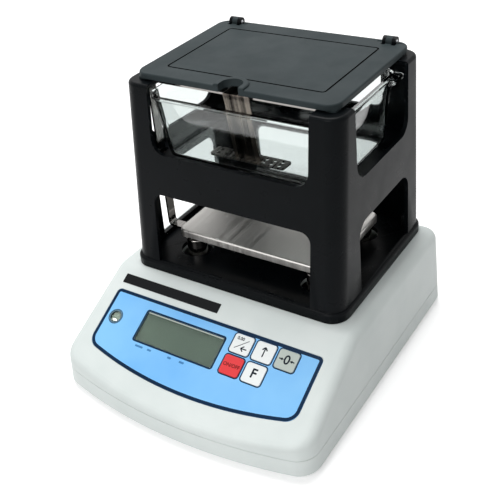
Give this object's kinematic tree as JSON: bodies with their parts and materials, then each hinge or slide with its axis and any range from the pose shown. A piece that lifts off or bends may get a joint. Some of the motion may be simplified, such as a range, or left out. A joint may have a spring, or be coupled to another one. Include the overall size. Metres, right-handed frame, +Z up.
{
  "type": "benchtop density meter",
  "caption": "Benchtop density meter: a sloped keypad base with an open black windshield frame, a weighing pan, a clear water tank over it and a hinged lid.",
  "frame": {"origin": "on the bench, under the middle of the whole instrument's box", "axes": "+X to the user's right, +Y to the back, +Z up"},
  "size_m": [0.217, 0.243, 0.2255],
  "materials": {
    "case_white": "moulded ABS, fine satin",
    "frame_black": "moulded ABS, satin",
    "lid_grey": "moulded ABS, satin",
    "overlay_blue": "printed polyester film",
    "key_white": "printed polyester film",
    "key_grey": "printed polyester film",
    "key_red": "printed polyester film",
    "film_layer": "polyester film with printed silver tracks",
    "steel_polished": "polished stainless steel",
    "steel_brushed": "zinc plated or plain stainless steel",
    "aluminium": "machined, satin",
    "aluminium_cast": "cast, sand-blasted",
    "clear_plastic": "clear polystyrene, polished mould",
    "window_clear": "clear acrylic, hard-coated",
    "lcd": "reflective LCD glass",
    "vial": "glass vial with spirit",
    "vial_ring": "moulded nylon",
    "board_green": "FR4 with solder resist",
    "nylon_black": "moulded nylon",
    "rubber_black": "moulded rubber"
  },
  "bodies": {
    "base": {"base_tray": "case_white", "case_screws": "steel_brushed", "cell_mount": "aluminium_cast", "cell_screws": "steel_brushed", "chamber_floor": "frame_black", "dc_inlet": "nylon_black", "frame_screws": "steel_brushed", "hinge_brackets": "frame_black", "hinge_pins": "steel_brushed", "key_domes": "steel_brushed", "keypad_circuit": "film_layer", "keypad_overlay": "overlay_blue", "keypad_spacer": "film_layer", "lcd_module": "lcd", "lcd_window": "window_clear", "level_ring": "vial_ring", "level_vial": "vial", "load_cell": "aluminium", "main_board": "board_green", "overload_stop": "steel_brushed", "rear_board": "board_green", "rocker_housing": "nylon_black", "serial_port": "steel_brushed", "shelf_screws": "steel_brushed", "tank_shelf": "frame_black", "upper_housing": "case_white", "water_tank": "clear_plastic", "windshield_frame": "frame_black"},
    "lid": {"lid": "lid_grey"},
    "stand": {"pan_spider": "aluminium", "spider_screws": "steel_brushed", "pan_posts": "steel_polished", "weighing_pan": "steel_polished", "gantry": "steel_polished", "hanger": "steel_polished"},
    "power_rocker": {"power_rocker": "nylon_black"},
    "key_return": {"key_return": "key_white"},
    "key_up": {"key_up": "key_white"},
    "key_zero": {"key_zero": "key_grey"},
    "key_mode": {"key_mode": "key_red"},
    "key_function": {"key_function": "key_white"},
    "foot_pad_front_left": {"foot_pad_front_left": "rubber_black"},
    "foot_wheel_front_left": {"foot_wheel_front_left": "nylon_black"},
    "foot_pad_front_right": {"foot_pad_front_right": "rubber_black"},
    "foot_wheel_front_right": {"foot_wheel_front_right": "nylon_black"},
    "foot_pad_back_left": {"foot_pad_back_left": "rubber_black"},
    "foot_wheel_back_left": {"foot_wheel_back_left": "nylon_black"},
    "foot_pad_back_right": {"foot_pad_back_right": "rubber_black"},
    "foot_wheel_back_right": {"foot_wheel_back_right": "nylon_black"}
  },
  "joints": [
    {"name": "lid_hinge", "type": "hinge", "parent": "base", "child": "lid", "pos_m": [0, 0.1065, 0.222], "axis": [-1, 0, 0], "range_deg": [0, 100]},
    {"name": "key_return_press", "type": "slide", "parent": "base", "child": "key_return", "axis": [0, 0.4648, -0.8854], "range_m": [0, 0.0005], "stiffness_N_per_m": 2000, "springref_m": -0.0002},
    {"name": "key_up_press", "type": "slide", "parent": "base", "child": "key_up", "axis": [0, 0.4648, -0.8854], "range_m": [0, 0.0005], "stiffness_N_per_m": 2000, "springref_m": -0.0002},
    {"name": "key_zero_press", "type": "slide", "parent": "base", "child": "key_zero", "axis": [0, 0.4648, -0.8854], "range_m": [0, 0.0005], "stiffness_N_per_m": 2000, "springref_m": -0.0002},
    {"name": "key_mode_press", "type": "slide", "parent": "base", "child": "key_mode", "axis": [0, 0.4648, -0.8854], "range_m": [0, 0.0005], "stiffness_N_per_m": 2000, "springref_m": -0.0002},
    {"name": "key_function_press", "type": "slide", "parent": "base", "child": "key_function", "axis": [0, 0.4648, -0.8854], "range_m": [0, 0.0005], "stiffness_N_per_m": 2000, "springref_m": -0.0002},
    {"name": "rocker_tilt", "type": "hinge", "parent": "base", "child": "power_rocker", "pos_m": [0.06, 0.1125, 0.036], "axis": [0, 0, -1], "range_deg": [0, 12]},
    {"name": "stand_sink", "type": "slide", "parent": "base", "child": "stand", "axis": [0, 0, -1], "range_m": [-0.0001, 0.0004], "stiffness_N_per_m": 20000, "springref_m": -0.00035, "deforming": ["load_cell"]},
    {"name": "foot_reach_front_left", "type": "slide", "parent": "base", "child": "foot_pad_front_left", "axis": [0, 0, -1], "range_m": [0, 0.003]},
    {"name": "foot_turn_front_left", "type": "hinge", "parent": "foot_pad_front_left", "child": "foot_wheel_front_left", "pos_m": [-0.085, -0.088, 0.003], "axis": [0, 0, 1], "range_deg": [0, 1080]},
    {"name": "foot_reach_front_right", "type": "slide", "parent": "base", "child": "foot_pad_front_right", "axis": [0, 0, -1], "range_m": [0, 0.003]},
    {"name": "foot_turn_front_right", "type": "hinge", "parent": "foot_pad_front_right", "child": "foot_wheel_front_right", "pos_m": [0.085, -0.088, 0.003], "axis": [0, 0, 1], "range_deg": [0, 1080]},
    {"name": "foot_reach_back_left", "type": "slide", "parent": "base", "child": "foot_pad_back_left", "axis": [0, 0, -1], "range_m": [0, 0.003]},
    {"name": "foot_turn_back_left", "type": "hinge", "parent": "foot_pad_back_left", "child": "foot_wheel_back_left", "pos_m": [-0.085, 0.098, 0.003], "axis": [0, 0, 1], "range_deg": [0, 1080]},
    {"name": "foot_reach_back_right", "type": "slide", "parent": "base", "child": "foot_pad_back_right", "axis": [0, 0, -1], "range_m": [0, 0.003]},
    {"name": "foot_turn_back_right", "type": "hinge", "parent": "foot_pad_back_right", "child": "foot_wheel_back_right", "pos_m": [0.085, 0.098, 0.003], "axis": [0, 0, 1], "range_deg": [0, 1080]}
  ],
  "couplings": [
    {"joint": "foot_reach_front_left", "follows": "foot_turn_front_left", "m_per_rad": 0.00015915},
    {"joint": "foot_reach_front_right", "follows": "foot_turn_front_right", "m_per_rad": 0.00015915},
    {"joint": "foot_reach_back_left", "follows": "foot_turn_back_left", "m_per_rad": 0.00015915},
    {"joint": "foot_reach_back_right", "follows": "foot_turn_back_right", "m_per_rad": 0.00015915}
  ]
}
